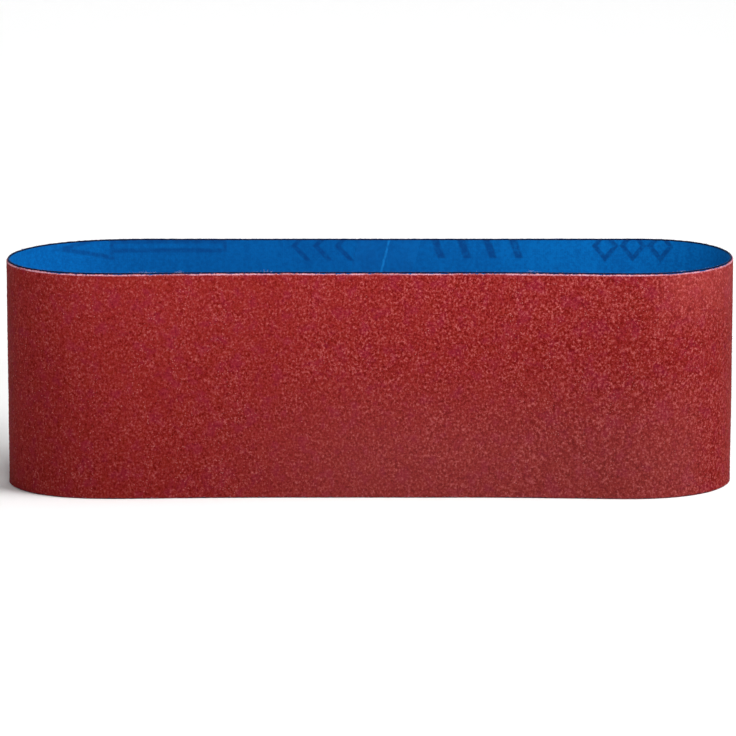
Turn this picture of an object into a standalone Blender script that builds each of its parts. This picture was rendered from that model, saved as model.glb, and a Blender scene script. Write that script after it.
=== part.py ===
"""Endless sanding belt for a portable belt sander, standing on its cut edge as a long oval loop.

The belt is a laminate: a strip of cloth closed into a loop, with a base coat of resin, a layer of
abrasive grain and a top coat of resin on its outer side. The strip's two ends meet in one slanted
butt joint, which a tape glued into a shallow recess on the inner side holds together.

Metres, +Z up. The belt's width runs along Z, the long way of the loop along X and the short way
along Y. The origin is at the centre of the loop's footprint, on the surface that it stands on.
"""

import math

import bmesh
import bpy
import numpy as np

MM = 0.001

# The belt as sold: width across the belt, and length once round, measured in the middle of the cloth.
BELT_WIDTH = 75.0 * MM
BELT_LENGTH = 533.0 * MM

# Thickness of each layer, from the inside outwards, and the bond line left between two layers.
CLOTH = 0.50 * MM
MAKE_COAT = 0.10 * MM
GRAIN = 0.16 * MM
SIZE_COAT = 0.08 * MM
BOND = 0.02 * MM
# The coats stop just short of the slit edges, so the cloth is what the belt stands on.
COAT_SETBACK = 0.30 * MM

# How the loop stands. The belt has two long runs, joined by two soft round ends.
# The middles of the two runs are this far from the long axis, at the middle of the cloth.
HALF_DEPTH = 27.0 * MM
# How far each end's tip sits off the long axis: the loop isn't perfectly even.
TIP_OFFSET = {"left": -4.1 * MM, "right": -0.85 * MM}
# For each quarter of the loop, from tip to middle: the share of it that makes the round end.
END_SHARE = {"front_left": 0.438, "front_right": 0.435, "back_right": 0.365, "back_left": 0.520}
# A run that turns in by this much (radians) past the end comes back over its length, so it is
# slightly hollow in the middle: the front run clearly, the back run hardly.
HOLLOW = {"front": 0.051, "back": 0.005}
# The middle of each run is dead flat over this length.
FLAT = {"front": 30.0 * MM, "back": 76.0 * MM}

# The slanted butt joint, in the flat middle of the back run.
JOINT_X_AT_TOP = 6.5 * MM
JOINT_SLANT = 0.25  # run along the belt for each unit across it
JOINT_GAP = 0.30 * MM
TAPE_WIDTH = 20.0 * MM  # square to the joint
TAPE = 0.09 * MM
TAPE_GLUE = 0.04 * MM
TAPE_RECESS = 0.19 * MM
TAPE_SIDE_PLAY = 0.30 * MM
TAPE_END_SETBACK = 0.20 * MM

# Facets round the loop: their length where the belt is straight, and the turn of each on a curve.
FACET_LENGTH = 4.0 * MM
FACET_TURN = math.radians(3.0)


def material(name, colour, roughness, metallic=0.0):
    m = bpy.data.materials.new(name)
    m.use_nodes = True
    shader = m.node_tree.nodes["Principled BSDF"]
    shader.inputs["Base Color"].default_value = (*colour, 1.0)
    shader.inputs["Roughness"].default_value = roughness
    shader.inputs["Metallic"].default_value = metallic
    m.diffuse_color = (*colour, 1.0)
    return m


def quarter(share, hollow, flat, count=1200):
    """A quarter of the loop from its tip to the middle of its run, in a unit box, with the straight
    last part given as a share of its length. The end bends like a pinched strip, most at the tip."""
    s = np.linspace(0.0, 1.0, count)
    step = s[1]
    bend = np.where(s < share, np.cos(np.pi * s / (2 * share)), 0.0)
    bend *= (math.pi / 2 + hollow) / (bend.sum() * step)
    along = np.clip((s - share) / (1.0 - flat - share), 0.0, 1.0)
    back = np.sin(np.pi * along) ** 2
    bend -= back * hollow / (back.sum() * step)
    turn = np.concatenate([[0.0], np.cumsum((bend[1:] + bend[:-1]) / 2 * step)])
    turn *= (math.pi / 2) / turn[-1]
    turn[s > 1.0 - flat] = math.pi / 2
    middle = (turn[1:] + turn[:-1]) / 2
    x = np.concatenate([[0.0], np.cumsum(np.sin(middle))])
    y = np.concatenate([[0.0], np.cumsum(np.cos(middle))])
    return x / x[-1], y / y[-1]


def centreline(length_x):
    """The middle of the cloth seen from above, as a dense closed line that starts in the middle of
    the back run and goes anticlockwise: left end, front run, right end."""
    half_run = BELT_LENGTH / 4

    def piece(where, side):
        run = where.split("_")[0]
        x, y = quarter(END_SHARE[where], HOLLOW[run], FLAT[run] / 2 / half_run)
        sign = -1.0 if side == "left" else 1.0
        tip = np.array([sign * length_x / 2, TIP_OFFSET[side]])
        middle = np.array([0.0, -HALF_DEPTH if run == "front" else HALF_DEPTH])
        return tip + (middle - tip) * np.stack([x, y], axis=1)

    back_left = piece("back_left", "left")[::-1]
    front_left = piece("front_left", "left")
    front_right = piece("front_right", "right")[::-1]
    back_right = piece("back_right", "right")
    return np.concatenate([back_left, front_left[1:], front_right[1:], back_right[1:-1]])


def length_round(line):
    return float(np.linalg.norm(line - np.roll(line, -1, axis=0), axis=1).sum())


def stations(line):
    """Points of the line far enough apart to make facets of FACET_LENGTH, or of FACET_TURN where it
    bends. Each run's flat middle is one facet, apart from the start of the line in the back run."""
    closed = np.concatenate([line, line[:1]])
    leg = np.diff(closed, axis=0)
    long = np.linalg.norm(leg, axis=1)
    at = np.concatenate([[0.0], np.cumsum(long)])
    heading = np.unwrap(np.arctan2(leg[:, 1], leg[:, 0]))
    turned = np.concatenate([[0.0], np.cumsum(np.abs(np.diff(heading)))])
    turned = np.concatenate([turned, turned[-1:]])
    half = BELT_LENGTH / 2
    # The stretches between the flats, as distances along the line.
    cuts = []
    x, y = closed[:, 0], closed[:, 1]
    front = np.flatnonzero((np.abs(x) <= FLAT["front"] / 2) & (y < 0))
    back = np.flatnonzero((np.abs(x) <= FLAT["back"] / 2) & (y > 0))
    first = back[at[back] < half].max()
    last = back[at[back] > half].min()
    for a, b in ((first, front.min()), (front.max(), last)):
        measure = at[a : b + 1] / FACET_LENGTH + turned[a : b + 1] / FACET_TURN
        count = int(math.ceil(measure[-1] - measure[0]))
        where = np.interp(np.linspace(measure[0], measure[-1], count + 1), measure, at[a : b + 1])
        cuts.extend(where)
    return np.stack([np.interp(cuts, at, closed[:, 0]), np.interp(cuts, at, closed[:, 1])], axis=1)


def offset(points, distance):
    """The loop moved outwards, facet by facet, so that every layer stays as thick on every facet."""
    before = points - np.roll(points, 1, axis=0)
    after = np.roll(points, -1, axis=0) - points
    before /= np.linalg.norm(before, axis=1)[:, None]
    after /= np.linalg.norm(after, axis=1)[:, None]
    out_before = np.stack([before[:, 1], -before[:, 0]], axis=1)
    out_after = np.stack([after[:, 1], -after[:, 0]], axis=1)
    out = out_before + out_after
    out /= np.linalg.norm(out, axis=1)[:, None]
    return points + out * (distance / (out * out_after).sum(axis=1))[:, None]


def ring(name, points, inner, outer, low, high, finish):
    """A closed wall that follows the loop, between two offsets and two heights."""
    bm = bmesh.new()
    rims = []
    for distance in (inner, outer):
        rim = [bm.verts.new((x, y, low)) for x, y in offset(points, distance)]
        rims.append([bm.edges.new((a, b)) for a, b in zip(rim, rim[1:] + rim[:1])])
    bm.edges.index_update()
    foot = bmesh.ops.bridge_loops(bm, edges=rims[0] + rims[1])["faces"]
    raised = bmesh.ops.extrude_face_region(bm, geom=foot)["geom"]
    bmesh.ops.translate(
        bm, vec=(0, 0, high - low), verts=[g for g in raised if isinstance(g, bmesh.types.BMVert)]
    )
    # Extruding leaves the foot in place where the region has an outline on both sides.
    bmesh.ops.recalc_face_normals(bm, faces=bm.faces)
    return finish_object(name, bm, finish)


def finish_object(name, bm, finish):
    mesh = bpy.data.meshes.new(name)
    bm.to_mesh(mesh)
    bm.free()
    obj = bpy.data.objects.new(name, mesh)
    bpy.context.scene.collection.objects.link(obj)
    if finish is None:
        obj.hide_render = True
        obj.display_type = "WIRE"
    else:
        mesh.materials.append(finish)
        mesh.shade_smooth()
        mesh.set_sharp_from_angle(angle=math.radians(30))
    return obj


def joint_x(z):
    """Where the joint's middle is at a height, along the back run."""
    return JOINT_X_AT_TOP + (z - BELT_WIDTH) * JOINT_SLANT


def slanted_plate(name, width, near, far, low, high, finish=None):
    """A plate in the back run that leans with the joint: width square to the joint, from one
    distance from the long axis to another, cut off square at its low and high ends."""
    half = width / 2 * math.hypot(1.0, JOINT_SLANT)
    bm = bmesh.new()
    corners = [
        bm.verts.new((joint_x(z) + side * half, near, z))
        for z, side in ((low, -1), (low, 1), (high, 1), (high, -1))
    ]
    face = bm.faces.new(corners)
    raised = bmesh.ops.extrude_face_region(bm, geom=[face])["geom"]
    bmesh.ops.translate(
        bm, vec=(0, far - near, 0), verts=[g for g in raised if isinstance(g, bmesh.types.BMVert)]
    )
    bmesh.ops.recalc_face_normals(bm, faces=bm.faces)
    return finish_object(name, bm, finish)


def cut(obj, cutter, name):
    mod = obj.modifiers.new(name, "BOOLEAN")
    mod.operation = "DIFFERENCE"
    mod.solver = "EXACT"
    mod.object = cutter


def main():
    for obj in list(bpy.data.objects):
        bpy.data.objects.remove(obj, do_unlink=True)

    blue_cloth = material("blue_cloth", (0.004, 0.078, 0.30), 0.75)
    base_resin = material("base_resin", (0.22, 0.030, 0.026), 0.55)
    red_grain = material("red_grain", (0.27, 0.026, 0.025), 0.60)
    top_resin = material("top_resin", (0.30, 0.036, 0.034), 0.45)
    clear_film = material("clear_film", (0.010, 0.12, 0.36), 0.30)
    clear_glue = material("clear_glue", (0.30, 0.26, 0.16), 0.40)

    # The length along X follows from the belt's length: a few rounds settle it.
    length_x = 0.44 * BELT_LENGTH
    for _ in range(12):
        length_x += (BELT_LENGTH - length_round(centreline(length_x))) / 2
    points = stations(centreline(length_x))

    inner, outer = -CLOTH / 2, CLOTH / 2
    make = (outer + BOND, outer + BOND + MAKE_COAT)
    grain = (make[1] + BOND, make[1] + BOND + GRAIN)
    size = (grain[1] + BOND, grain[1] + BOND + SIZE_COAT)

    # The origin is under the middle of the footprint of the outer face.
    outline = offset(points, size[1])
    points -= (outline.min(axis=0) + outline.max(axis=0)) / 2
    inside_face = offset(points, inner)[:, 1].max()
    outline_back = offset(points, size[1])[:, 1].max()

    low, high = COAT_SETBACK, BELT_WIDTH - COAT_SETBACK
    layers = [
        ring("cloth_backing", points, inner, outer, 0.0, BELT_WIDTH, blue_cloth),
        ring("make_coat", points, *make, low, high, base_resin),
        ring("abrasive_grain", points, *grain, low, high, red_grain),
        ring("size_coat", points, *size, low, high, top_resin),
    ]

    back_face = points[np.abs(points[:, 0] - 0.0) <= FLAT["back"] / 2 + MM][:, 1].max() + inner
    over = 3 * MM
    joint = slanted_plate(
        "joint_cutter", JOINT_GAP, back_face - over, outline_back + over, -over, BELT_WIDTH + over
    )
    for layer in layers:
        cut(layer, joint, "butt_joint")
    recess = slanted_plate(
        "tape_recess_cutter",
        TAPE_WIDTH,
        back_face - over,
        back_face + TAPE_RECESS,
        -over,
        BELT_WIDTH + over,
    )
    cut(layers[0], recess, "tape_recess")

    # The glue lies in the recess, and the tape on it, just below the face of the cloth.
    glue_far = back_face + TAPE_RECESS - BOND
    glue_near = glue_far - TAPE_GLUE
    tape_far = glue_near - BOND
    slanted_plate(
        "splice_adhesive",
        TAPE_WIDTH - 2 * TAPE_SIDE_PLAY - 1.0 * MM,
        glue_near,
        glue_far,
        TAPE_END_SETBACK + 0.3 * MM,
        BELT_WIDTH - TAPE_END_SETBACK - 0.3 * MM,
        clear_glue,
    )
    slanted_plate(
        "splice_tape",
        TAPE_WIDTH - 2 * TAPE_SIDE_PLAY,
        tape_far - TAPE,
        tape_far,
        TAPE_END_SETBACK,
        BELT_WIDTH - TAPE_END_SETBACK,
        clear_film,
    )


main()
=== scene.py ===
"""The looks of an endless sanding belt standing on its cut edge: blue cloth inside, red abrasive
outside, closed by one slanted taped joint. Metres, +Z up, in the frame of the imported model."""

import math

import bpy
import numpy as np
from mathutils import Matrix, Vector


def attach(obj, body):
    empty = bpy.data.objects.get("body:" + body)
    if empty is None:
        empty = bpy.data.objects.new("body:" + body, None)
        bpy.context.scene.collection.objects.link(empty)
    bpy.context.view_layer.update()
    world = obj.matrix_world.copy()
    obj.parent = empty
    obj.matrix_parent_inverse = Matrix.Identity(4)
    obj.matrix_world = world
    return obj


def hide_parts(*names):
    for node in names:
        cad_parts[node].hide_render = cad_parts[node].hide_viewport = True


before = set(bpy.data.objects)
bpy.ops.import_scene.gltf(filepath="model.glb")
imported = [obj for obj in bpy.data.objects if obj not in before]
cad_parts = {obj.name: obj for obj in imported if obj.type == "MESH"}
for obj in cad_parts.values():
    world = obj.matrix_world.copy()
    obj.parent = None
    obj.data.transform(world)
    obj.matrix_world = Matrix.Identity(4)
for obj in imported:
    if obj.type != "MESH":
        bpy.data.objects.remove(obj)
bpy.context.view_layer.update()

MM = 0.001
RNG = np.random.default_rng(20533)

# ---------------------------------------------------------------------------------------------
# The loop, as in the design: the middle of the cloth seen from above, anticlockwise from the
# middle of the back run. Lengths in millimetres from here on, turned into metres in make_mesh.
# ---------------------------------------------------------------------------------------------

WIDTH = 75.0
LENGTH = 533.0
CLOTH = 0.50
MAKE_COAT = 0.10
GRAIN = 0.16
SIZE_COAT = 0.08
BOND = 0.02
HALF_DEPTH = 27.0
TIP_OFFSET = {"left": -4.1, "right": -0.85}
END_SHARE = {"front_left": 0.438, "front_right": 0.435, "back_right": 0.365, "back_left": 0.520}
HOLLOW = {"front": 0.051, "back": 0.005}
FLAT = {"front": 30.0, "back": 76.0}
JOINT_X_AT_TOP = 6.5
JOINT_SLANT = 0.25
JOINT_GAP = 0.30
TAPE_WIDTH = 20.0
TAPE = 0.09
TAPE_GLUE = 0.04
TAPE_RECESS = 0.19
SLOPE = math.hypot(1.0, JOINT_SLANT)

OUTER = CLOTH / 2
COAT_FOOT = OUTER + BOND
COAT_TOP = OUTER + 3 * BOND + MAKE_COAT + GRAIN + SIZE_COAT


def quarter(share, hollow, flat, count=1200):
    s = np.linspace(0.0, 1.0, count)
    step = s[1]
    bend = np.where(s < share, np.cos(np.pi * s / (2 * share)), 0.0)
    bend *= (math.pi / 2 + hollow) / (bend.sum() * step)
    along = np.clip((s - share) / (1.0 - flat - share), 0.0, 1.0)
    back = np.sin(np.pi * along) ** 2
    bend -= back * hollow / (back.sum() * step)
    turn = np.concatenate([[0.0], np.cumsum((bend[1:] + bend[:-1]) / 2 * step)])
    turn *= (math.pi / 2) / turn[-1]
    turn[s > 1.0 - flat] = math.pi / 2
    middle = (turn[1:] + turn[:-1]) / 2
    x = np.concatenate([[0.0], np.cumsum(np.sin(middle))])
    y = np.concatenate([[0.0], np.cumsum(np.cos(middle))])
    return x / x[-1], y / y[-1]


def centreline(length_x):
    half_run = LENGTH / 4

    def piece(where, side):
        run = where.split("_")[0]
        x, y = quarter(END_SHARE[where], HOLLOW[run], FLAT[run] / 2 / half_run)
        sign = -1.0 if side == "left" else 1.0
        tip = np.array([sign * length_x / 2, TIP_OFFSET[side]])
        middle = np.array([0.0, -HALF_DEPTH if run == "front" else HALF_DEPTH])
        return tip + (middle - tip) * np.stack([x, y], axis=1)

    return np.concatenate(
        [
            piece("back_left", "left")[::-1],
            piece("front_left", "left")[1:],
            piece("front_right", "right")[::-1][1:],
            piece("back_right", "right")[1:-1],
        ]
    )


class Loop:
    """Where the belt is, as a function of the distance along it from the middle of the back run."""

    def __init__(self):
        length_x = 0.44 * LENGTH
        for _ in range(12):
            line = centreline(length_x)
            total = np.linalg.norm(line - np.roll(line, -1, axis=0), axis=1).sum()
            length_x += (LENGTH - total) / 2
        line = centreline(length_x)
        closed = np.concatenate([line, line[:1]])
        leg = np.linalg.norm(np.diff(closed, axis=0), axis=1)
        at = np.concatenate([[0.0], np.cumsum(leg)])
        self.total = at[-1]
        count = 4264
        self.at = np.linspace(0.0, self.total, count + 1)
        self.x = np.interp(self.at, at, closed[:, 0])
        self.y = np.interp(self.at, at, closed[:, 1])
        tx = np.roll(self.x[:-1], -2) - np.roll(self.x[:-1], 2)
        ty = np.roll(self.y[:-1], -2) - np.roll(self.y[:-1], 2)
        size = np.hypot(tx, ty)
        nx, ny = ty / size, -tx / size
        self.nx = np.concatenate([nx, nx[:1]])
        self.ny = np.concatenate([ny, ny[:1]])
        # The same origin as the design: the middle of the outer face's footprint.
        ox, oy = self.x + self.nx * COAT_TOP, self.y + self.ny * COAT_TOP
        self.x -= (ox.min() + ox.max()) / 2
        self.y -= (oy.min() + oy.max()) / 2

    def place(self, u, z, out):
        """Points at distance u along, height z, and out from the middle of the cloth."""
        w = np.mod(u, self.total)
        x, y = np.interp(w, self.at, self.x), np.interp(w, self.at, self.y)
        nx, ny = np.interp(w, self.at, self.nx), np.interp(w, self.at, self.ny)
        return np.stack([x + nx * out, y + ny * out, z + 0 * x], axis=-1)


LOOP = Loop()


def joint_u(z):
    """Where the joint is at a height, as a distance along the belt: the back run goes towards -X."""
    return -(JOINT_X_AT_TOP + (z - WIDTH) * JOINT_SLANT)


class Field:
    """A smooth random height over the belt, repeating once round it, with a given grain size."""

    def __init__(self, grain, step, low=None):
        nu, nv = int(round(LENGTH / step)), int(round((WIDTH + 10) / step))
        fu = np.fft.fftfreq(nu, LENGTH / nu)[:, None]
        fv = np.fft.rfftfreq(nv, (WIDTH + 10) / nv)[None, :]
        f = np.hypot(fu, fv)
        keep = np.exp(-((f * grain * 0.9) ** 2))
        if low:
            keep *= 1 - np.exp(-((f * low) ** 2))
        noise = np.fft.rfft2(RNG.standard_normal((nu, nv)))
        grid = np.fft.irfft2(noise * keep, s=(nu, nv))
        self.grid = (grid / grid.std()).astype(np.float32)
        self.nu, self.nv, self.su, self.sv = nu, nv, LENGTH / nu, (WIDTH + 10) / nv

    def at(self, u, z):
        a, b = np.mod(u, LENGTH) / self.su, np.clip((z + 5) / self.sv, 0, self.nv - 1.001)
        i, j = np.floor(a).astype(int), np.floor(b).astype(int)
        fa, fb = a - i, b - j
        fa, fb = fa * fa * (3 - 2 * fa), fb * fb * (3 - 2 * fb)
        i0, i1 = i % self.nu, (i + 1) % self.nu
        j1 = np.minimum(j + 1, self.nv - 1)
        g = self.grid
        return (g[i0, j] * (1 - fa) + g[i1, j] * fa) * (1 - fb) + (
            g[i0, j1] * (1 - fa) + g[i1, j1] * fa
        ) * fb


COCKLE = Field(30.0, 3.0)
SLIT = Field(0.9, 0.3)


def cockle(u, z):
    """The faint cockle of the whole laminate, which every layer follows."""
    seat = np.clip(z / 6.0, 0, 1) * np.clip((WIDTH - z) / 6.0, 0, 1)
    return 0.07 * COCKLE.at(u, z) * (0.4 + 0.6 * seat)


def smooth(a, low, high):
    t = np.clip((a - low) / (high - low), 0, 1)
    return t * t * (3 - 2 * t)


# ---------------------------------------------------------------------------------------------
# Meshes
# ---------------------------------------------------------------------------------------------


def make_mesh(name, points, faces, uv=None, smooth_shade=True, attributes=None, slots=None):
    """A mesh object from millimetre points and a list of (n, k) face index arrays."""
    mesh = bpy.data.meshes.new(name)
    points = np.asarray(points, dtype=np.float32).reshape(-1, 3) * np.float32(MM)
    mesh.vertices.add(len(points))
    mesh.vertices.foreach_set("co", points.ravel())
    loops = np.concatenate([f.ravel() for f in faces]).astype(np.int32)
    sizes = np.concatenate([np.full(len(f), f.shape[1], np.int32) for f in faces])
    starts = np.concatenate([[0], np.cumsum(sizes)[:-1]]).astype(np.int32)
    mesh.loops.add(len(loops))
    mesh.loops.foreach_set("vertex_index", loops)
    mesh.polygons.add(len(sizes))
    mesh.polygons.foreach_set("loop_start", starts)
    mesh.update(calc_edges=True)
    mesh.validate(clean_customdata=False)
    mesh.polygons.foreach_set("use_smooth", np.full(len(sizes), smooth_shade))
    if uv is not None:
        layer = mesh.uv_layers.new(name="belt")
        flat = np.asarray(uv, dtype=np.float32).reshape(-1, 2)[loops]
        layer.data.foreach_set("uv", flat.ravel())
    for key, values in (attributes or {}).items():
        layer = mesh.attributes.new(key, "FLOAT", "POINT")
        layer.data.foreach_set("value", np.asarray(values, dtype=np.float32).ravel())
    if slots is not None:
        mesh.polygons.foreach_set("material_index", np.asarray(slots, dtype=np.int32))
    obj = bpy.data.objects.new(name, mesh)
    bpy.context.scene.collection.objects.link(obj)
    return obj


def grid_faces(nu, nv, start=0, flip=False):
    i = np.arange(nu - 1)[:, None] * nv + np.arange(nv - 1)[None, :]
    i = i.ravel() + start
    quads = np.stack([i, i + nv, i + nv + 1, i + 1], axis=1)
    return quads[:, ::-1] if flip else quads


def columns(step, near):
    """Distances along the strip from one side of the joint to the other, closer together at the
    places in near, which are distances from either side."""
    at = list(np.linspace(0.0, LENGTH - JOINT_GAP, int(round((LENGTH - JOINT_GAP) / step)) + 1))
    for d in near:
        at += [d, LENGTH - JOINT_GAP - d]
    at = np.unique(np.round(at, 4))
    keep = [at[0]]
    for a in at[1:]:
        if a - keep[-1] > 0.035:
            keep.append(a)
    keep[-1] = at[-1]
    return np.array(keep)


def rows(step, rim):
    """Shares of the width, closer together at both rims."""
    inside = np.linspace(rim[-1], WIDTH - rim[-1], int(round((WIDTH - 2 * rim[-1]) / step)) + 1)
    return np.concatenate([rim[:-1], inside, (WIDTH - np.array(rim[:-1]))[::-1]])


def wall(name, cols, rws, z_low, z_high, inner, outer, inner_rows=None):
    """A closed strip round the loop. z_low and z_high are the heights of its rims as functions of
    u, inner and outer its two faces as functions of (u, z). The strip ends at the joint's slant.
    With inner_rows, the inner face has only those rows."""

    def face(rws, out):
        share = rws / WIDTH
        z = WIDTH * share[None, :] + 0 * cols[:, None]
        u = cols[:, None] + JOINT_GAP / 2 + joint_u(z)
        low, high = z_low(u), z_high(u)
        # The rims' unevenness fades out within 4 mm of the edge.
        z = z + (low - 0.0) * smooth(-z, -4.0, 0.0) + (high - WIDTH) * smooth(z, WIDTH - 4.0, WIDTH)
        out = out(u, z)
        return LOOP.place(u, z, out + cockle(u, z)), np.stack([u, z], axis=-1)

    nu = len(cols)
    inner_rws = rws if inner_rows is None else np.asarray(inner_rows)
    p_out, uv_out = face(rws, outer)
    p_in, uv_in = face(inner_rws, inner)
    nv, nw = len(rws), len(inner_rws)
    base = nu * nv
    faces = [grid_faces(nu, nv), grid_faces(nu, nw, base, flip=True)]
    i = np.arange(nu - 1)
    o, b = i * nv, base + i * nw
    faces.append(np.stack([o, b, b + nw, o + nv], axis=1))  # lower rim
    o, b = o + nv - 1, b + nw - 1
    faces.append(np.stack([o, o + nv, b + nw, b], axis=1))  # upper rim
    for end, turn in ((0, 1), (nu - 1, -1)):
        ring = np.concatenate(
            [np.arange(nv)[::-1] + end * nv, base + end * nw + np.arange(nw)]
        )[::turn]
        faces.append(ring[None, :][:, ::-1])
    points = np.concatenate([p_out.reshape(-1, 3), p_in.reshape(-1, 3)])
    uv = np.concatenate([uv_out.reshape(-1, 2), uv_in.reshape(-1, 2)])
    return make_mesh(name, points, faces, uv)


# Heights of the slit edges of the cloth, and of the chipped edges of the coats, round the belt.


def cloth_low(u):
    return 0.045 + 0.03 * np.tanh(SLIT.at(u, 1.0 + 0 * u))


def cloth_high(u):
    return WIDTH - 0.03 + 0.05 * np.tanh(SLIT.at(u, 9.0 + 0 * u))


def coat_low(u):
    chip = SLIT.at(u, 17.0 + 0 * u)
    return 0.30 + 0.10 * np.tanh(chip) + 0.10 * np.clip(chip - 1.0, 0, 1.5)


def coat_high(u):
    chip, wear = SLIT.at(u, 25.0 + 0 * u), COCKLE.at(3.0 * u, 40.0 + 0 * u)
    return WIDTH - 0.60 - 0.10 * np.tanh(chip) - 0.12 * np.clip(chip - 1.0, 0, 1.5) - 0.08 * np.tanh(wear)


def rim_rounding(z, low, high, reach, depth):
    """How far a face falls back near its rims."""
    edge = np.minimum(z - low, high - z)
    t = np.clip(1 - edge / reach, 0, 1)
    return depth * t * t


RIM = [0.0, 0.06, 0.14, 0.26, 0.42, 0.62, 0.9, 1.3, 1.8]
# The columns lean with the joint, so even a hidden face needs rows often enough to follow the ends.
BACK_ROWS = np.linspace(0.0, WIDTH, 26)


def build_cloth():
    weave = Field(0.55, 0.18)

    def recess(u, z):
        d = np.abs(u - joint_u(z) - LENGTH * np.round((u - joint_u(z)) / LENGTH)) / SLOPE
        return TAPE_RECESS * (1 - smooth(d, TAPE_WIDTH / 2 - 0.25, TAPE_WIDTH / 2 + 0.25))

    def inner(u, z):
        fuzz = 0.006 * weave.at(u, z)
        return -CLOTH / 2 + recess(u, z) + fuzz + rim_rounding(z, 0.05, WIDTH - 0.03, 0.2, 0.09)

    def outer(u, z):
        return CLOTH / 2 - 0.004 - rim_rounding(z, 0.05, WIDTH - 0.03, 0.2, 0.07)

    cols = columns(0.62, [0.1, 0.3, 9.5, 9.8, 10.0, 10.15, 10.3, 10.45, 10.6, 10.8, 11.1])
    return wall(
        "belt_cloth", cols, rows(0.62, RIM), cloth_low, cloth_high, inner, outer,
    )


def build_base_coat():
    bead = Field(0.7, 0.25)

    def inner(u, z):
        return COAT_FOOT + 0 * u

    def outer(u, z):
        return COAT_FOOT + MAKE_COAT + 0.012 * bead.at(u, z)

    low = lambda u: coat_low(u) - 0.07 + 0.05 * np.tanh(bead.at(u, 33.0 + 0 * u))
    high = lambda u: coat_high(u) + 0.07 + 0.05 * np.tanh(bead.at(u, 41.0 + 0 * u))
    return wall(
        "base_coat", columns(0.5, [0.1]), rows(6.0, RIM), low, high, inner, outer,
        inner_rows=BACK_ROWS,
    )


def grain_height(u, z, fields):
    """The outer face of the coat: rounded mounds of resin over packed grain."""
    fine, middle, broad = fields
    mound = 0.6 * fine.at(u, z) + 0.65 * middle.at(u, z)
    mound = np.where(mound > 0, mound * 1.15, mound * 0.8)
    return 0.036 * np.clip(mound, -2.0, 2.4) + 0.010 * broad.at(u, z)


def build_grain_coat(fields, step):
    def inner(u, z):
        return COAT_FOOT + MAKE_COAT + 0.03 + 0 * u

    def outer(u, z):
        edge = rim_rounding(z, coat_low(u), coat_high(u), 0.28, 0.16)
        return COAT_TOP - 0.03 + grain_height(u, z, fields) - edge

    rim = [0.0, 0.10, 0.22, 0.38, 0.6, 0.86, 1.14, 1.42]
    return wall(
        "grain_coat", columns(step, []), rows(step, rim), coat_low, coat_high, inner, outer,
        inner_rows=BACK_ROWS,
    )


# ---------------------------------------------------------------------------------------------
# Small solids set on the belt: grain crystals, chips along the cut edges, and yarn ends
# ---------------------------------------------------------------------------------------------

# A crystal is a squat octahedron with two of its corners cut: seven corners, ten faces.
CRYSTAL = np.array(
    [
        [1.0, 0.1, -0.1], [0.15, 0.95, 0.05], [-0.95, 0.2, 0.1], [-0.1, -1.0, -0.05],
        [0.35, 0.15, 0.85], [-0.4, -0.1, 0.75], [0.1, 0.1, -0.8],
    ]
)
CRYSTAL_FACES = np.array(
    [
        [0, 1, 4], [1, 2, 5], [1, 5, 4], [2, 3, 5], [3, 0, 4], [3, 4, 5],
        [1, 0, 6], [2, 1, 6], [3, 2, 6], [0, 3, 6],
    ]
)


def turns(count):
    """Random rotations, as (count, 3, 3)."""
    q = RNG.standard_normal((count, 4))
    q /= np.linalg.norm(q, axis=1)[:, None]
    w, x, y, z = q.T
    return np.stack(
        [
            1 - 2 * (y * y + z * z), 2 * (x * y - z * w), 2 * (x * z + y * w),
            2 * (x * y + z * w), 1 - 2 * (x * x + z * z), 2 * (y * z - x * w),
            2 * (x * z - y * w), 2 * (y * z + x * w), 1 - 2 * (x * x + y * y),
        ],
        axis=1,
    ).reshape(count, 3, 3)


def crystals(name, u, z, out, size, slot):
    """One piece of many crystals, each at its place on the belt with its own turn and shape."""
    count = len(u)
    shape = CRYSTAL[None] * (1 + 0.22 * RNG.standard_normal((count, 7, 3)))
    shape = shape * RNG.uniform(0.7, 1.25, (count, 1, 3)) * size[:, None, None] / 2
    shape = np.einsum("nij,nkj->nki", turns(count), shape)
    centre = LOOP.place(u, z, out)
    points = centre[:, None, :] + shape
    faces = (CRYSTAL_FACES[None] + 7 * np.arange(count)[:, None, None]).reshape(-1, 3)
    return make_mesh(
        name, points, [faces], smooth_shade=False, slots=np.repeat(slot, len(CRYSTAL_FACES))
    )


def build_crystals(fields, count):
    u = RNG.uniform(0.0, LENGTH, count)
    z = RNG.uniform(0.62, WIDTH - 0.62, count)
    # None in the joint's gap.
    d = np.abs(u - joint_u(z) - LENGTH * np.round((u - joint_u(z)) / LENGTH))
    keep = d > 0.35
    u, z = u[keep], z[keep]
    size = np.clip(RNG.lognormal(math.log(0.235), 0.26, len(u)), 0.13, 0.46)
    out = (
        COAT_TOP - 0.03 + grain_height(u, z, fields) + cockle(u, z)
        + size * RNG.uniform(-0.40, -0.06, len(u))
    )
    slot = RNG.choice(5, len(u), p=[0.34, 0.28, 0.20, 0.12, 0.06])
    return crystals("grain_crystals", u, z, out, size, slot)


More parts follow.
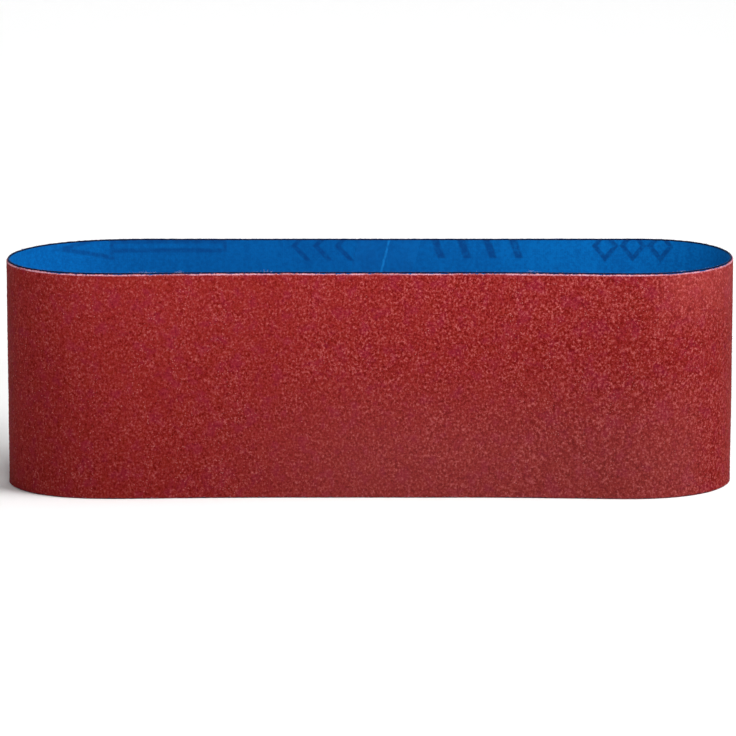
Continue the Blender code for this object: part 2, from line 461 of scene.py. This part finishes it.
def build_chips(count):
    """Broken grain and resin along the slit edges of the coat, paler than its skin; palest along the top edge, partly a
    painted highlight of the lit rim.
    """
    u = RNG.uniform(0.0, LENGTH, count)
    top = RNG.random(count) < 0.5
    inward = np.abs(RNG.normal(0.0, 0.16, count))
    z = np.where(top, coat_high(u) - inward + 0.02, coat_low(u) + inward - 0.02)
    d = np.abs(u - joint_u(z) - LENGTH * np.round((u - joint_u(z)) / LENGTH))
    keep = (d > 0.3) & (z > 0.12)
    u, z, top = u[keep], z[keep], top[keep]
    size = np.clip(RNG.lognormal(math.log(0.20), 0.30, len(u)), 0.10, 0.42)
    z = np.maximum(z, 0.75 * size)
    depth = RNG.uniform(0.0, 1.0, len(u)) ** 0.6
    out = COAT_FOOT + 0.05 + (COAT_TOP - COAT_FOOT - 0.10) * depth + cockle(u, z)
    # Chips along the top edge are mostly pale, partly a painted highlight of the lit rim, and those along the lower
    # edge mostly red.
    slot = np.where(
        top, RNG.choice(3, len(u), p=[0.46, 0.34, 0.20]), RNG.choice(3, len(u), p=[0.03, 0.12, 0.85])
    )
    return crystals("edge_chips", u, z, out, size, slot)


# Lengths of the edge where the slitting knife has pulled yarn ends out: middle and half length.
FRAYED = [(193.0, 3.5), (203.5, 2.0), (232.0, 1.6), (318.0, 2.2), (366.0, 1.4), (52.0, 2.0), (471.0, 2.6), (120.0, 2.0)]


def hairs(name, count, length, radius, slot_shares, tops, sides=3, links=4, spread=0.5, where=None):
    """Short bent fibres that stand out of the cut edges of the cloth."""
    u = RNG.uniform(0.0, LENGTH, count)
    if where:
        pick = RNG.choice(len(where), count, p=[w[1] / sum(x[1] for x in where) for w in where])
        at = np.array(where)[pick]
        u = at[:, 0] + at[:, 1] * np.clip(RNG.normal(0, 0.5, count), -1.5, 1.5)
    top = RNG.random(count) < tops
    low = np.where(top, cloth_high(u) - 0.12, cloth_low(u) + 0.20)
    across = RNG.uniform(-CLOTH / 2 + 0.03, CLOTH / 2 - 0.02, count)
    long = np.clip(RNG.lognormal(math.log(length), 0.4, count), 0.1, 3 * length)
    lean_u = RNG.normal(0, spread, count)
    lean_o = RNG.normal(0, spread, count)
    curl_u = RNG.normal(0, 0.6 * spread, count)
    curl_o = RNG.normal(0, 0.6 * spread, count)
    thick = radius * RNG.uniform(0.7, 1.3, count)
    t = np.linspace(0, 1, links)[None, :]
    sign = np.where(top, 1.0, -1.0)[:, None]
    # Fibres at the lower edge lie outwards and upwards of it, because the belt stands on it.
    rise = np.where(top[:, None], t, 0.35 * t)
    uu = u[:, None] + long[:, None] * (lean_u[:, None] * t + curl_u[:, None] * t * t)
    oo = across[:, None] + long[:, None] * (lean_o[:, None] * t + curl_o[:, None] * t * t)
    oo = np.where(top[:, None], oo, np.where(across[:, None] > 0, 0.26 + 0.5 * np.abs(oo), -0.26 - 0.5 * np.abs(oo)))
    zz = low[:, None] + sign * long[:, None] * rise * 0.9
    zz = np.maximum(zz, thick[:, None] + 0.005)
    spine = LOOP.place(uu, zz, oo + cockle(u, low)[:, None])
    r = thick[:, None] * (1 - 0.65 * t)
    ring = []
    for k in range(sides):
        a = 2 * math.pi * k / sides
        shift = LOOP.place(uu, zz, oo + cockle(u, low)[:, None] + r * math.cos(a)) - spine
        along = LOOP.place(uu + r * math.sin(a), zz, oo + cockle(u, low)[:, None]) - spine
        ring.append(spine + shift + along)
    points = np.stack(ring, axis=2)  # count, links, sides, 3
    base = (np.arange(count) * links * sides)[:, None, None]
    i = np.arange(links - 1)[None, :, None] * sides
    k = np.arange(sides)[None, None, :]
    k2 = (k + 1) % sides
    quads = np.stack([base + i + k, base + i + k2, base + i + sides + k2, base + i + sides + k], axis=-1)
    quads = quads.reshape(-1, 4)
    caps = (base[:, 0] + np.arange(sides)[None, :])[:, ::-1]
    tips = base[:, 0] + (links - 1) * sides + np.arange(sides)[None, :]
    slot = RNG.choice(len(slot_shares), count, p=slot_shares)
    slots = np.concatenate([np.repeat(slot, (links - 1) * sides), slot, slot])
    return make_mesh(name, points, [quads, caps, tips], smooth_shade=True, slots=slots)


# ---------------------------------------------------------------------------------------------
# The taped joint
# ---------------------------------------------------------------------------------------------


def joint_plate(name, half, step, low, high, near, far, uneven, rib=None):
    """A thin plate over the joint, leaning with it. near and far are its faces as offsets from the
    middle of the cloth. rib, if given, is the offset that a rib in the joint's gap reaches."""
    across = np.linspace(-half, half, int(round(2 * half / step)) + 1)
    across = np.unique(np.round(np.concatenate([across, [-0.5, -0.3, -0.13, 0.13, 0.3, 0.5]]), 3))
    z = np.linspace(low, high, int(round((high - low) / step)) + 1)
    a, zz = np.meshgrid(across, z, indexing="ij")
    u = joint_u(zz) + a * SLOPE
    side = smooth(np.abs(a), half - 0.25, half)
    face_in = near + uneven(u, zz, a) + 0.08 * (far - near) * side
    face_out = far + 0 * a
    if rib is not None:
        face_out = np.where(np.abs(a) < 0.131, rib, face_out)
    p_in = LOOP.place(u, zz, face_in + cockle(u, zz))
    p_out = LOOP.place(u, zz, face_out + cockle(u, zz))
    nu, nv = a.shape
    base = nu * nv
    faces = [grid_faces(nu, nv, 0, flip=True), grid_faces(nu, nv, base)]
    i = np.arange(nu - 1)
    faces.append(np.stack([i * nv, (i + 1) * nv, base + (i + 1) * nv, base + i * nv], axis=1))
    j = i * nv + nv - 1
    faces.append(np.stack([j, base + j, base + j + nv, j + nv], axis=1))
    k = np.arange(nv - 1)
    faces.append(np.stack([k, base + k, base + k + 1, k + 1], axis=1))
    k = k + (nu - 1) * nv
    faces.append(np.stack([k, k + 1, base + k + 1, base + k], axis=1))
    uv = np.stack([a, zz], axis=-1)
    return make_mesh(
        name, np.concatenate([p_in.reshape(-1, 3), p_out.reshape(-1, 3)]), faces,
        np.concatenate([uv.reshape(-1, 2), uv.reshape(-1, 2)]),
    )


def build_tape():
    pull = Field(6.0, 0.8)
    show = Field(0.6, 0.2)
    foot = -CLOTH / 2 + TAPE_RECESS

    def tape_face(u, z, a):
        # The film takes on a little of the cloth's weave, sinks at the joint's edges and is
        # pushed up in the middle, where the glue stands in the gap.
        ridge = -0.035 * np.exp(-((a / 0.42) ** 2)) + 0.012 * np.exp(-((np.abs(a) - 1.1) / 0.35) ** 2)
        return 0.008 * pull.at(u, z) + 0.003 * show.at(u, z) + ridge

    glue = joint_plate(
        "joint_adhesive", TAPE_WIDTH / 2 - 0.8, 0.8, 0.5, WIDTH - 0.5,
        foot - BOND - TAPE_GLUE, foot - BOND, lambda u, z, a: 0 * a, rib=COAT_TOP - 0.12,
    )
    near = foot - 2 * BOND - TAPE_GLUE - TAPE
    tape = joint_plate(
        "joint_tape", TAPE_WIDTH / 2 + 0.24, 0.4, 0.06, WIDTH - 0.06, near, near + TAPE, tape_face
    )
    return tape, glue


# ---------------------------------------------------------------------------------------------
# Materials, all from nodes
# ---------------------------------------------------------------------------------------------


class Value:
    """A number that varies over a surface, for writing node maths as arithmetic."""

    def __init__(self, tree, socket):
        self.tree, self.socket = tree, socket

    def do(self, operation, *others):
        node = self.tree.nodes.new("ShaderNodeMath")
        node.operation = operation
        for i, v in enumerate((self, *others)):
            if isinstance(v, Value):
                self.tree.links.new(v.socket, node.inputs[i])
            else:
                node.inputs[i].default_value = float(v)
        return Value(self.tree, node.outputs[0])

    def __add__(self, o): return self.do("ADD", o)
    def __radd__(self, o): return self.do("ADD", o)
    def __sub__(self, o): return self.do("SUBTRACT", o)
    def __rsub__(self, o): return (self * -1.0) + o
    def __mul__(self, o): return self.do("MULTIPLY", o)
    def __rmul__(self, o): return self.do("MULTIPLY", o)
    def __truediv__(self, o): return self.do("DIVIDE", o)
    def __abs__(self): return self.do("ABSOLUTE")
    def less(self, o): return self.do("LESS_THAN", o)
    def low(self, o): return self.do("MINIMUM", o)
    def high(self, o): return self.do("MAXIMUM", o)
    def sin(self): return self.do("SINE")
    def wrap(self, high, low=0.0): return self.do("WRAP", high, low)

    def ramp(self, a, b, c=0.0, d=1.0):
        """From c to d as this goes from a to b, and held past both."""
        node = self.tree.nodes.new("ShaderNodeMapRange")
        node.interpolation_type = "SMOOTHSTEP"
        self.tree.links.new(self.socket, node.inputs["Value"])
        for key, v in (("From Min", a), ("From Max", b), ("To Min", c), ("To Max", d)):
            node.inputs[key].default_value = v
        return Value(self.tree, node.outputs["Result"])


class Look:
    """A material around one Principled shader."""

    def __init__(self, name, colour, roughness, specular=0.5):
        self.material = bpy.data.materials.new(name)
        self.material.use_nodes = True
        self.tree = self.material.node_tree
        self.shader = self.tree.nodes["Principled BSDF"]
        self.set("Base Color", (*colour, 1.0))
        self.set("Roughness", roughness)
        self.set("Specular IOR Level", specular)
        self.material.diffuse_color = (*colour, 1.0)

    def set(self, key, value):
        self.shader.inputs[key].default_value = value

    def link(self, key, value):
        self.tree.links.new(value.socket if isinstance(value, Value) else value, self.shader.inputs[key])

    def position(self):
        node = self.tree.nodes.new("ShaderNodeTexCoord")
        return node.outputs["Object"]

    def along_x(self):
        """The place along X, in metres."""
        split = self.tree.nodes.new("ShaderNodeSeparateXYZ")
        self.tree.links.new(self.position(), split.inputs[0])
        return Value(self.tree, split.outputs["X"])

    def belt(self):
        """Distance along the belt and height, in millimetres."""
        node = self.tree.nodes.new("ShaderNodeUVMap")
        node.uv_map = "belt"
        split = self.tree.nodes.new("ShaderNodeSeparateXYZ")
        self.tree.links.new(node.outputs["UV"], split.inputs[0])
        return Value(self.tree, split.outputs["X"]), Value(self.tree, split.outputs["Y"])

    def noise(self, size_mm, detail=2.0, rough=0.5, shift=0.0, stretch=None):
        node = self.tree.nodes.new("ShaderNodeTexNoise")
        node.noise_dimensions = "3D"
        node.inputs["Scale"].default_value = 1000.0 / size_mm
        node.inputs["Detail"].default_value = detail
        node.inputs["Roughness"].default_value = rough
        place = self.tree.nodes.new("ShaderNodeMapping")
        place.inputs["Location"].default_value = (shift, -shift, 0.37 * shift)
        if stretch:
            place.inputs["Scale"].default_value = stretch
        self.tree.links.new(self.position(), place.inputs["Vector"])
        self.tree.links.new(place.outputs["Vector"], node.inputs["Vector"])
        return Value(self.tree, node.outputs["Fac"])

    def cells(self, size_mm, feature="F1", output="Distance", randomness=1.0):
        node = self.tree.nodes.new("ShaderNodeTexVoronoi")
        node.feature = feature
        node.inputs["Scale"].default_value = 1000.0 / size_mm
        node.inputs["Randomness"].default_value = randomness
        self.tree.links.new(self.position(), node.inputs["Vector"])
        if output == "Color":
            split = self.tree.nodes.new("ShaderNodeSeparateColor")
            self.tree.links.new(node.outputs["Color"], split.inputs[0])
            return [Value(self.tree, split.outputs[i]) for i in range(3)]
        return Value(self.tree, node.outputs[output])

    def mix(self, share, a, b):
        """Between two colours (tuples or sockets) by a share."""
        node = self.tree.nodes.new("ShaderNodeMix")
        node.data_type = "RGBA"
        node.clamp_factor = True
        self.tree.links.new(share.socket, node.inputs["Factor"])
        for key, v in (("A", a), ("B", b)):
            socket = [i for i in node.inputs if i.name == key and i.type == "RGBA"][0]
            if isinstance(v, tuple):
                socket.default_value = (*v, 1.0)
            else:
                self.tree.links.new(v, socket)
        return [o for o in node.outputs if o.type == "RGBA"][0]

    def bump(self, height, distance_mm, strength=1.0, under=None):
        node = self.tree.nodes.new("ShaderNodeBump")
        node.inputs["Distance"].default_value = distance_mm * MM
        node.inputs["Strength"].default_value = strength
        self.tree.links.new(height.socket, node.inputs["Height"])
        if under is not None:
            self.tree.links.new(under, node.inputs["Normal"])
        return node.outputs["Normal"]


def ink_marks(u, v):
    """How much ink there is at a place on the cloth: arrows for the way the belt runs, with rows of
    plain chevrons, slanted bars and lozenges between them. u grows towards the arrows' tips, v up."""
    row = 48.0
    # Rows of print repeat up the cloth, and each row repeats along it.
    v = (v - 72.6).wrap(row / 2, -row / 2)
    a = abs(v)
    stroke = 0.70

    def between(x, low, high, soft=0.45):
        return x.ramp(low - soft, low + soft) * x.ramp(high - soft, high + soft, 1.0, 0.0)

    # The arrow: a shaft with a barbed head, drawn as an outline.
    shaft = (abs(u - 66.9) - 18.7).high(a - 1.5)
    head = (a * 0.977 + (u - 102.9) * 0.213).high(85.6 - u)
    arrow = abs(shaft.low(head)).ramp(stroke - 0.45, stroke + 0.45, 1.0, 0.0)
    # Three chevrons.
    w = u + a * 0.95 - 8.2
    chevrons = between(w.wrap(7.2, 0.0), 1.6, 3.6) * between(w, 0.4, 21.2) * a.ramp(4.7, 5.4, 1.0, 0.0)
    # Four slanted bars.
    w = (u - v * 0.35 + 52.0).wrap(8.6, 0.0)
    bars = between(w, 2.6, 5.2) * between(u, -51.9, -17.8) * a.ramp(3.8, 4.5, 1.0, 0.0)
    # Three lozenges, as outlines.
    w = abs((u + 101.0).wrap(9.2, 0.0) - 4.6)
    lozenge = abs(w * 1.0 + a * 0.82 - 3.5).ramp(0.60, 1.35, 1.0, 0.0)
    lozenges = lozenge * between(u, -101.0, -73.4)
    return (arrow * 0.78).high(chevrons).high(bars).high(lozenges)


# The colour of the painted shade on the cloth and the film over the back run.
PAINTED_SHADE_BLUE = (0.0002, 0.0351, 0.1443)
INK = (0.0005, 0.0273, 0.1248)


def back_run_painted_shade(u):
    """Painted shade: the blue is darker over a length of the back run, on both sides of the joint."""
    return abs(u - 20.0).ramp(18.0, 108.0, 0.46, 0.0)


def cloth_look():
    look = Look("blue_cloth", (0.0005, 0.0682, 0.2621), 0.88, 0.03)
    u, v = look.belt()
    # A two-up, one-down twill: the warp along the belt, the weft across it.
    pitch_u, pitch_v = 0.62, 0.54
    warp = abs((v * (math.pi / pitch_v)).sin())
    weft = abs((u * (math.pi / pitch_u)).sin())
    twill = ((u * (1 / pitch_u) + v * (1 / pitch_v)) * (2 * math.pi / 3)).sin()
    over = twill.ramp(-0.35, 0.35)
    weave = warp * (over * 0.75 + 0.25) + weft * (1.0 - over) * 0.8
    slub = look.noise(1.1, 3.0, 0.6, 0.3, (0.35, 0.35, 1.0))
    fuzz = look.noise(0.16, 2.0, 0.6, 0.7)
    normal = look.bump(weave + (slub - 0.5) * 0.5 + (fuzz - 0.5) * 0.5, 0.035, 0.55)
    look.tree.links.new(normal, look.shader.inputs["Normal"])
    # Dye: a little uneven over the cloth. The hollows of the weave are darker, a painted shade.
    patches = look.noise(26.0, 2.0, 0.5, 0.11)
    streaks = look.noise(2.2, 2.0, 0.5, 0.2, (1.0, 1.0, 0.12))
    nap = look.noise(0.95, 3.0, 0.65, 0.45)
    tone = weave * 0.24 + patches.ramp(0.3, 0.7) * 0.40 + streaks.ramp(0.3, 0.7) * 0.30 + (fuzz - 0.5) * 0.35
    tone = tone + (nap - 0.5) * 3.2
    dyed = look.mix(tone, (0.0003, 0.0629, 0.2289), (0.0005, 0.0934, 0.3093))
    # Painted shade over a length of the back run, on both sides of the joint.
    dyed = look.mix(back_run_painted_shade(LOOK_U(u)), dyed, PAINTED_SHADE_BLUE)
    # The print comes round twice on the loop, once on each run.
    lap = ink_marks(LOOK_U(u).wrap(LENGTH / 4, -LENGTH / 4), v)
    worn = look.noise(1.6, 3.0, 0.7, 0.9).ramp(0.32, 0.60, 0.45, 1.0)
    printed = look.mix(lap * worn * 0.80, dyed, INK)
    # The slit edges are nearly black-blue.
    rag = (look.noise(0.5, 3.0, 0.6, 0.5) - 0.5) * 0.35
    edge = (v - WIDTH / 2)
    edge = (abs(edge) + rag).ramp(WIDTH / 2 - 0.62, WIDTH / 2 - 0.34)
    colour = look.mix(edge, printed, (0.0022, 0.0045, 0.0210))
    look.tree.links.new(colour, look.shader.inputs["Base Color"])
    look.link("Roughness", (weave * -0.10 + 0.86) - lap * 0.10)
    look.set("Sheen Weight", 0.05)
    look.set("Sheen Roughness", 0.45)
    look.set("Sheen Tint", (0.0, 0.4, 1.0, 1.0))
    return look.material


def LOOK_U(u):
    """Distance along the belt from the middle of the back run, from minus to plus half its length."""
    return u.wrap(LENGTH / 2, -LENGTH / 2)


def coat_look():
    look = Look("red_abrasive", (0.2417, 0.0193, 0.0179), 0.78, 0.03)
    u, v = look.belt()
    # Clumps of grain about 0.7 mm across, single grains inside them, and dust between.
    red, green, blue = look.cells(0.54, output="Color")
    bead = look.cells(0.54, output="Distance")
    single = look.cells(0.27, output="Color")
    worm = look.noise(0.72, 2.0, 0.55, 0.2, (1.0, 1.0, 0.75))
    strength = look.noise(7.0, 2.0, 0.5, 3.1).ramp(0.36, 0.64, 0.72, 0.94)
    # Painted light: the speckle has more contrast towards +X, standing in for the key light raking across the grain
    # there.
    strength = strength * look.along_x().ramp(-0.120, 0.080, 0.71, 1.09)
    dust = look.noise(0.34, 3.0, 0.65, 0.2)
    patch = look.noise(7.0, 3.0, 0.55, 0.6)
    broad = look.noise(45.0, 2.0, 0.5, 0.8)
    tone = (
        ((red - 0.5) * 0.44 + (single[0] - 0.5) * 0.24 + (worm - 0.5) * 1.9 + (dust - 0.5) * 1.10) * strength
        + (patch - 0.5) * 0.06 + (broad - 0.5) * 0.06 + 0.5
    )
    body = look.mix(tone.ramp(0.06, 0.58), (0.0980, 0.0022, 0.0019), (0.1730, 0.0104, 0.0095))
    body = look.mix(tone.ramp(0.49, 1.12), body, (0.3300, 0.0720, 0.0690))
    # Some patches lean to orange, others to crimson.
    hue = look.noise(4.2, 2.0, 0.5, 1.7)
    body = look.mix(hue.ramp(0.52, 0.74) * 0.12, body, (0.1956, 0.0228, 0.0048))
    body = look.mix(hue.ramp(0.50, 0.30) * 0.34, body, (0.1737, 0.0085, 0.0287))
    # Here and there an uncovered grain shows paler through the top coat, partly a painted highlight on its tip, and
    # pits are painted darker, a painted shade.
    bare_grain_and_glint = green.ramp(0.88, 0.96) * bead.ramp(0.40, 0.12)
    body = look.mix(bare_grain_and_glint * 0.70, body, (0.4395, 0.1446, 0.1374))
    # Painted shade in pits.
    pit_painted_shade = blue.ramp(0.84, 0.93) * bead.ramp(0.50, 0.15)
    body = look.mix(pit_painted_shade * 0.65, body, (0.0769, 0.0019, 0.0019))
    # Painted light: paler along the top at one end, a painted highlight, and paler and greyer low down in the middle, a
    # painted sheen.
    x = look.along_x()
    # Painted highlight along the top at the +X end.
    body = look.mix(x.ramp(0.086, 0.103) * v.ramp(50.0, 72.0) * 0.13, body, (0.4200, 0.0850, 0.0820))
    # Painted sheen low down in the middle.
    low = x.ramp(-0.065, 0.005) * x.ramp(0.102, 0.113, 1.0, 0.0) * v.ramp(50.0, 8.0)
    body = look.mix(low * 0.13, body, (0.2500, 0.0780, 0.0750))
    # The chipped cut edge shows pale broken grain and resin, more in some lengths than in others, painted along the top
    # edge only, where it is partly a painted highlight of the lit rim.
    rag = (look.noise(0.45, 3.0, 0.7, 0.5) - 0.5) * 0.75
    worn = look.noise(11.0, 3.0, 0.6, 2.3).ramp(0.36, 0.52, 0.22, 1.0)
    edge = (abs(v - WIDTH / 2) + rag).ramp(WIDTH / 2 - 1.02, WIDTH / 2 - 0.74)
    # Only the top rim: the paleness there is partly a painted highlight.
    worn = worn * v.ramp(WIDTH * 0.4, WIDTH * 0.6, 0.0, 1.0)
    colour = look.mix(edge * worn * 0.90, body, (0.4650, 0.2450, 0.3050))
    look.tree.links.new(colour, look.shader.inputs["Base Color"])
    look.link("Roughness", red.ramp(0.0, 1.0, 0.62, 0.86))
    grit = look.cells(0.16, output="Distance")
    normal = look.bump((bead * -0.8 + worm * 1.2 + dust * 0.9), 0.13, 0.6)
    normal = look.bump(grit * -1.0, 0.04, 0.4, normal)
    look.tree.links.new(normal, look.shader.inputs["Normal"])
    return look.material


def plain_look(name, colour, roughness, specular=0.5, **more):
    look = Look(name, colour, roughness, specular)
    for key, value in more.items():
        look.set(key, value)
    return look.material


def grain_looks():
    # Each grain is a single colour, so the tints are slots and not a pattern on the grain.
    shades = [
        ("grain_red", (0.1782, 0.0114, 0.0105), 0.55),
        ("grain_deep_red", (0.1160, 0.0038, 0.0034), 0.60),
        ("grain_bright_red", (0.2450, 0.0335, 0.0315), 0.50),
        ("grain_crimson", (0.1843, 0.0108, 0.0254), 0.52),
        # The palest tint is uncovered grain, partly a painted highlight on grain tips.
        ("grain_bare_and_glint", (0.3700, 0.1080, 0.1020), 0.46),
    ]
    return [plain_look(name, colour, roughness, 0.04) for name, colour, roughness in shades]


def base_look():
    look = Look("base_resin", (0.20, 0.012, 0.010), 0.5, 0.4)
    grit = look.noise(0.25, 3.0, 0.6, 0.3)
    colour = look.mix(grit.ramp(0.3, 0.7), (0.15, 0.008, 0.008), (0.42, 0.085, 0.085))
    look.tree.links.new(colour, look.shader.inputs["Base Color"])
    look.tree.links.new(look.bump(grit, 0.05, 0.7), look.shader.inputs["Normal"])
    return look.material


def tape_look():
    look = Look("splice_film", (0.0005, 0.0699, 0.2708), 0.66, 0.03)
    a, v = look.belt()
    u = v * (-JOINT_SLANT) + a * SLOPE - (JOINT_X_AT_TOP - WIDTH * JOINT_SLANT)
    # The cloth's weave, its hollows in painted shade, and its print show faintly through the film.
    weave = abs((v * (math.pi / 0.54)).sin()) * 0.5 + abs((u * (math.pi / 0.62)).sin()) * 0.5
    patches = look.noise(9.0, 2.0, 0.5, 0.31)
    streaks = look.noise(2.0, 2.0, 0.5, 0.4, (1.0, 1.0, 0.15))
    nap = look.noise(0.95, 3.0, 0.65, 0.45)
    tone = weave * 0.2 + patches.ramp(0.3, 0.7) * 0.4 + streaks.ramp(0.3, 0.7) * 0.34 + (nap - 0.5) * 2.7
    film = look.mix(tone, (0.0003, 0.0629, 0.2298), (0.0005, 0.0934, 0.3110))
    # The same painted shade over the back run as on the cloth.
    film = look.mix(back_run_painted_shade(u), film, PAINTED_SHADE_BLUE)
    lap = ink_marks(u, v)
    film = look.mix(lap * 0.60, film, INK)
    # Glue stands in the joint under the film, and shows as one pale line.
    waver = (look.noise(2.8, 3.0, 0.6, 0.2) - 0.5) * 0.9
    line = abs(a + waver).ramp(0.18, 0.52, 1.0, 0.0)
    beads = look.noise(1.8, 3.0, 0.6, 0.7).ramp(0.30, 0.60, 0.25, 1.0)
    film = look.mix(line * beads * 0.50, film, (0.0048, 0.1589, 0.4431))
    # The film's edges are painted a little lighter, a painted highlight along them.
    edge = abs(a).ramp(TAPE_WIDTH / 2 - 0.45, TAPE_WIDTH / 2 - 0.05)
    film = look.mix(edge * 0.06, film, (0.0009, 0.1005, 0.3320))
    rag = (look.noise(0.5, 3.0, 0.6, 0.5) - 0.5) * 0.35
    rim = (abs(v - WIDTH / 2) + rag).ramp(WIDTH / 2 - 0.62, WIDTH / 2 - 0.34)
    colour = look.mix(rim, film, (0.0022, 0.0045, 0.0210))
    look.tree.links.new(colour, look.shader.inputs["Base Color"])
    look.link("Roughness", streaks.ramp(0.3, 0.7, 0.58, 0.72))
    normal = look.bump(weave * 0.5 + patches, 0.02, 0.4)
    look.tree.links.new(normal, look.shader.inputs["Normal"])
    return look.material


def glue_look():
    look = Look("joint_glue", (0.10, 0.10, 0.13), 0.35, 0.5)
    bubbles = look.noise(0.4, 3.0, 0.6, 0.3)
    colour = look.mix(bubbles.ramp(0.35, 0.65), (0.055, 0.030, 0.038), (0.14, 0.060, 0.070))
    look.tree.links.new(colour, look.shader.inputs["Base Color"])
    look.tree.links.new(look.bump(bubbles, 0.05, 0.5), look.shader.inputs["Normal"])
    return look.material


# ---------------------------------------------------------------------------------------------
# Build
# ---------------------------------------------------------------------------------------------

GRAIN_STEP = 0.30
CRYSTALS = 46000

fields = (Field(0.42, 0.14), Field(0.8, 0.2, 3.0), Field(4.0, 0.8))

cloth = build_cloth()
cloth.data.materials.append(cloth_look())
base = build_base_coat()
base.data.materials.append(base_look())
coat = build_grain_coat(fields, GRAIN_STEP)
coat.data.materials.append(coat_look())
grains = build_crystals(fields, CRYSTALS)
for m in grain_looks():
    grains.data.materials.append(m)
chips = build_chips(15000)
for m in (
    plain_look("chip_pale", (0.49, 0.26, 0.315), 0.5, 0.1),
    plain_look("chip_pink", (0.44, 0.14, 0.17), 0.5, 0.1),
    plain_look("chip_red", (0.19, 0.016, 0.016), 0.5, 0.1),
):
    chips.data.materials.append(m)
tape, glue = build_tape()
tape.data.materials.append(tape_look())
glue.data.materials.append(glue_look())
fibres = hairs("edge_fibres", 4600, 0.26, 0.013, [0.78, 0.15, 0.07], 0.62, spread=0.55)
yarns = hairs("yarn_ends", 1300, 0.15, 0.045, [0.82, 0.12, 0.06], 0.62, sides=5, links=4, spread=0.35)
tufts = hairs("frayed_ends", 340, 0.42, 0.026, [0.10, 0.25, 0.65], 0.85, sides=4, links=5, spread=0.55, where=FRAYED)
for piece in (fibres, yarns, tufts):
    for m in (
        plain_look(piece.name + "_navy", (0.004, 0.012, 0.055), 0.8, 0.2),
        plain_look(piece.name + "_blue", (0.01, 0.09, 0.30), 0.8, 0.2),
        plain_look(piece.name + "_pale", (0.36, 0.36, 0.52), 0.85, 0.1),
    ):
        piece.data.materials.append(m)

for piece in (cloth, base, coat, grains, chips, tape, glue, fibres, yarns, tufts):
    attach(piece, "root")
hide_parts("cloth_backing")
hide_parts("make_coat")
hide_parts("abrasive_grain")
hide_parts("size_coat")
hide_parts("splice_tape")
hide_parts("splice_adhesive")

# ---------------------------------------------------------------------------------------------
# Floor, light and camera
# ---------------------------------------------------------------------------------------------

scene = bpy.context.scene
scene.view_settings.view_transform = "Standard"
scene.view_settings.look = "None"

# A pale table that curves up into a low wall far away, all the way round.
rings = [(0.0, 0.0), (1.0, 0.0), (3.0, 0.0), (4.6, 0.0)]
rings += [(4.6 + 1.4 * math.sin(t), 1.4 - 1.4 * math.cos(t)) for t in np.linspace(0.1, math.pi / 2, 14)]
rings.append((6.0, 1.7))
around = 96
stage_points, stage_faces = [], []
for r, h in rings:
    for k in range(around):
        t = 2 * math.pi * k / around
        stage_points.append((r * math.cos(t), r * math.sin(t), h))
for i in range(len(rings) - 1):
    for k in range(around):
        m = (k + 1) % around
        stage_faces.append((i * around + k, (i + 1) * around + k, (i + 1) * around + m, i * around + m))
stage_faces = [tuple(dict.fromkeys(f)) for f in stage_faces]
floor_mesh = bpy.data.meshes.new("floor")
floor_mesh.from_pydata(stage_points, [], stage_faces)
for polygon in floor_mesh.polygons:
    polygon.use_smooth = True
floor = bpy.data.objects.new("floor", floor_mesh)
scene.collection.objects.link(floor)
floor.data.materials.append(plain_look("floor", (0.95, 0.95, 0.95), 1.0, 0.0))

world = bpy.data.worlds.new("studio")
scene.world = world
world.use_nodes = True
world.node_tree.nodes["Background"].inputs["Color"].default_value = (1.0, 1.0, 1.0, 1.0)
world.node_tree.nodes["Background"].inputs["Strength"].default_value = 0.22


def direction(azimuth, elevation):
    """Towards a light. Azimuth 0 is the camera's side, 90 is +X."""
    a, e = math.radians(azimuth), math.radians(elevation)
    return Vector((math.sin(a) * math.cos(e), -math.cos(a) * math.cos(e), math.sin(e)))


def far_light(name, azimuth, elevation, strength, spread):
    data = bpy.data.lights.new(name, "SUN")
    data.energy, data.angle = strength, math.radians(spread)
    lamp = bpy.data.objects.new(name, data)
    lamp.rotation_euler = (-direction(azimuth, elevation)).to_track_quat("-Z", "Y").to_euler()
    scene.collection.objects.link(lamp)


def soft_box(name, at, aim, size, power, spread=180):
    data = bpy.data.lights.new(name, "AREA")
    data.shape, data.size, data.size_y, data.energy = "RECTANGLE", size, size, power
    data.spread = math.radians(spread)
    lamp = bpy.data.objects.new(name, data)
    lamp.location = at
    lamp.rotation_euler = (Vector(aim) - Vector(at)).to_track_quat("-Z", "Y").to_euler()
    lamp.visible_camera = False
    scene.collection.objects.link(lamp)


far_light("key", 70, 33, 2.40, 34)
far_light("overhead", 90, 60, 1.00, 34)
soft_box("box_right", (0.22, -0.22, 0.36), (0.05, -0.02, 0.06), 0.15, 0.54)
soft_box("box_front", (0.0, -0.62, 0.34), (0.0, 0.0, 0.40), 0.10, 2.80, 75)
soft_box("box_back", (0.0, 0.62, 0.34), (0.0, 0.0, 0.40), 0.10, 1.40, 75)

camera_data = bpy.data.cameras.new("camera")
camera_data.sensor_fit = "HORIZONTAL"
camera_data.sensor_width = 36.0
camera_data.lens = 280.43
camera_data.clip_start, camera_data.clip_end = 0.05, 30.0
camera = bpy.data.objects.new("camera", camera_data)
camera.location = (-0.00066, -1.83660, 0.45226)
camera.rotation_euler = (math.pi / 2 - 0.22220, 0.0, 0.0)
scene.collection.objects.link(camera)
scene.camera = camera
